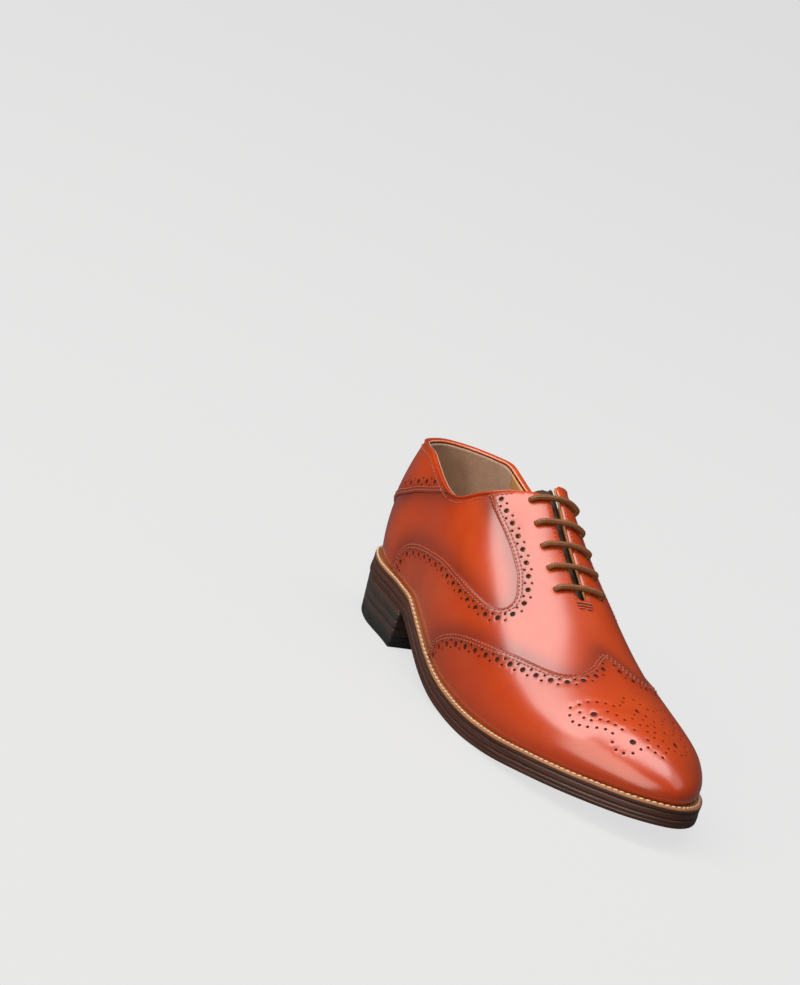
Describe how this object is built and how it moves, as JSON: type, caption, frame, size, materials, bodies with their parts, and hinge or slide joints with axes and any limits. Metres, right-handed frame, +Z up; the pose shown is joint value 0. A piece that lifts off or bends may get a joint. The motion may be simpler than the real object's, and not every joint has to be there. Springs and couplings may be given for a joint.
{
  "type": "leather oxford shoe",
  "caption": "Wing-tip leather oxford for a right foot: welted leather sole, stacked heel, closed lacing with straight bars, lined collar.",
  "frame": {"origin": "on the ground, under the centre of the whole shoe's bounding box", "axes": "+X towards the toe, +Z up, +Y towards the inner (big toe) side of the foot"},
  "size_m": [0.306, 0.1064, 0.1159],
  "materials": {
    "calf": "burnished tan calf, polished",
    "lining": "vegetable tanned lining leather, matt",
    "suede": "grey-brown suede, napped",
    "sole_leather": "dark brown sole leather, waxed edge",
    "welt": "natural tan welt leather",
    "insole": "natural insole leather, matt",
    "cork": "granulated cork, matt",
    "steel": "satin spring steel",
    "heel_stack": "dark stacked heel leather, waxed",
    "rubber": "black rubber, matt",
    "cord": "waxed brown cotton cord",
    "thread": "waxed linen thread",
    "stiffener": "pressed leather board, matt"
  },
  "bodies": {
    "shoe": {"outsole": "sole_leather", "midsole": "sole_leather", "welt": "welt", "cork_filler": "cork", "shank": "steel", "insole": "insole", "heel_sock": "lining", "heel_top_piece": "rubber", "heel_lift_1": "heel_stack", "heel_lift_2": "heel_stack", "heel_lift_3": "heel_stack", "heel_rand": "welt", "wing_cap": "calf", "vamp": "calf", "quarter_lateral": "calf", "quarter_medial": "calf", "backstay": "calf", "vamp_lining": "lining", "quarter_lining_lateral": "lining", "quarter_lining_medial": "lining", "heel_grip": "suede", "heel_counter": "stiffener", "toe_puff": "stiffener", "lace": "cord", "aglet_lateral": "cord", "aglet_medial": "cord", "throat_tack": "thread", "eyelet_lateral_1": "steel", "eyelet_lateral_2": "steel", "eyelet_lateral_3": "steel", "eyelet_lateral_4": "steel", "eyelet_lateral_5": "steel", "eyelet_medial_1": "steel", "eyelet_medial_2": "steel", "eyelet_medial_3": "steel", "eyelet_medial_4": "steel", "eyelet_medial_5": "steel"},
    "tongue": {"tongue": "lining"}
  },
  "joints": [
    {"name": "tongue_flex", "type": "hinge", "parent": "shoe", "child": "tongue", "pos_m": [0.03135, 0.0003, 0.07], "axis": [0, -1, 0], "range_deg": [0, 12], "stiffness_Nm_per_rad": 0.3}
  ]
}
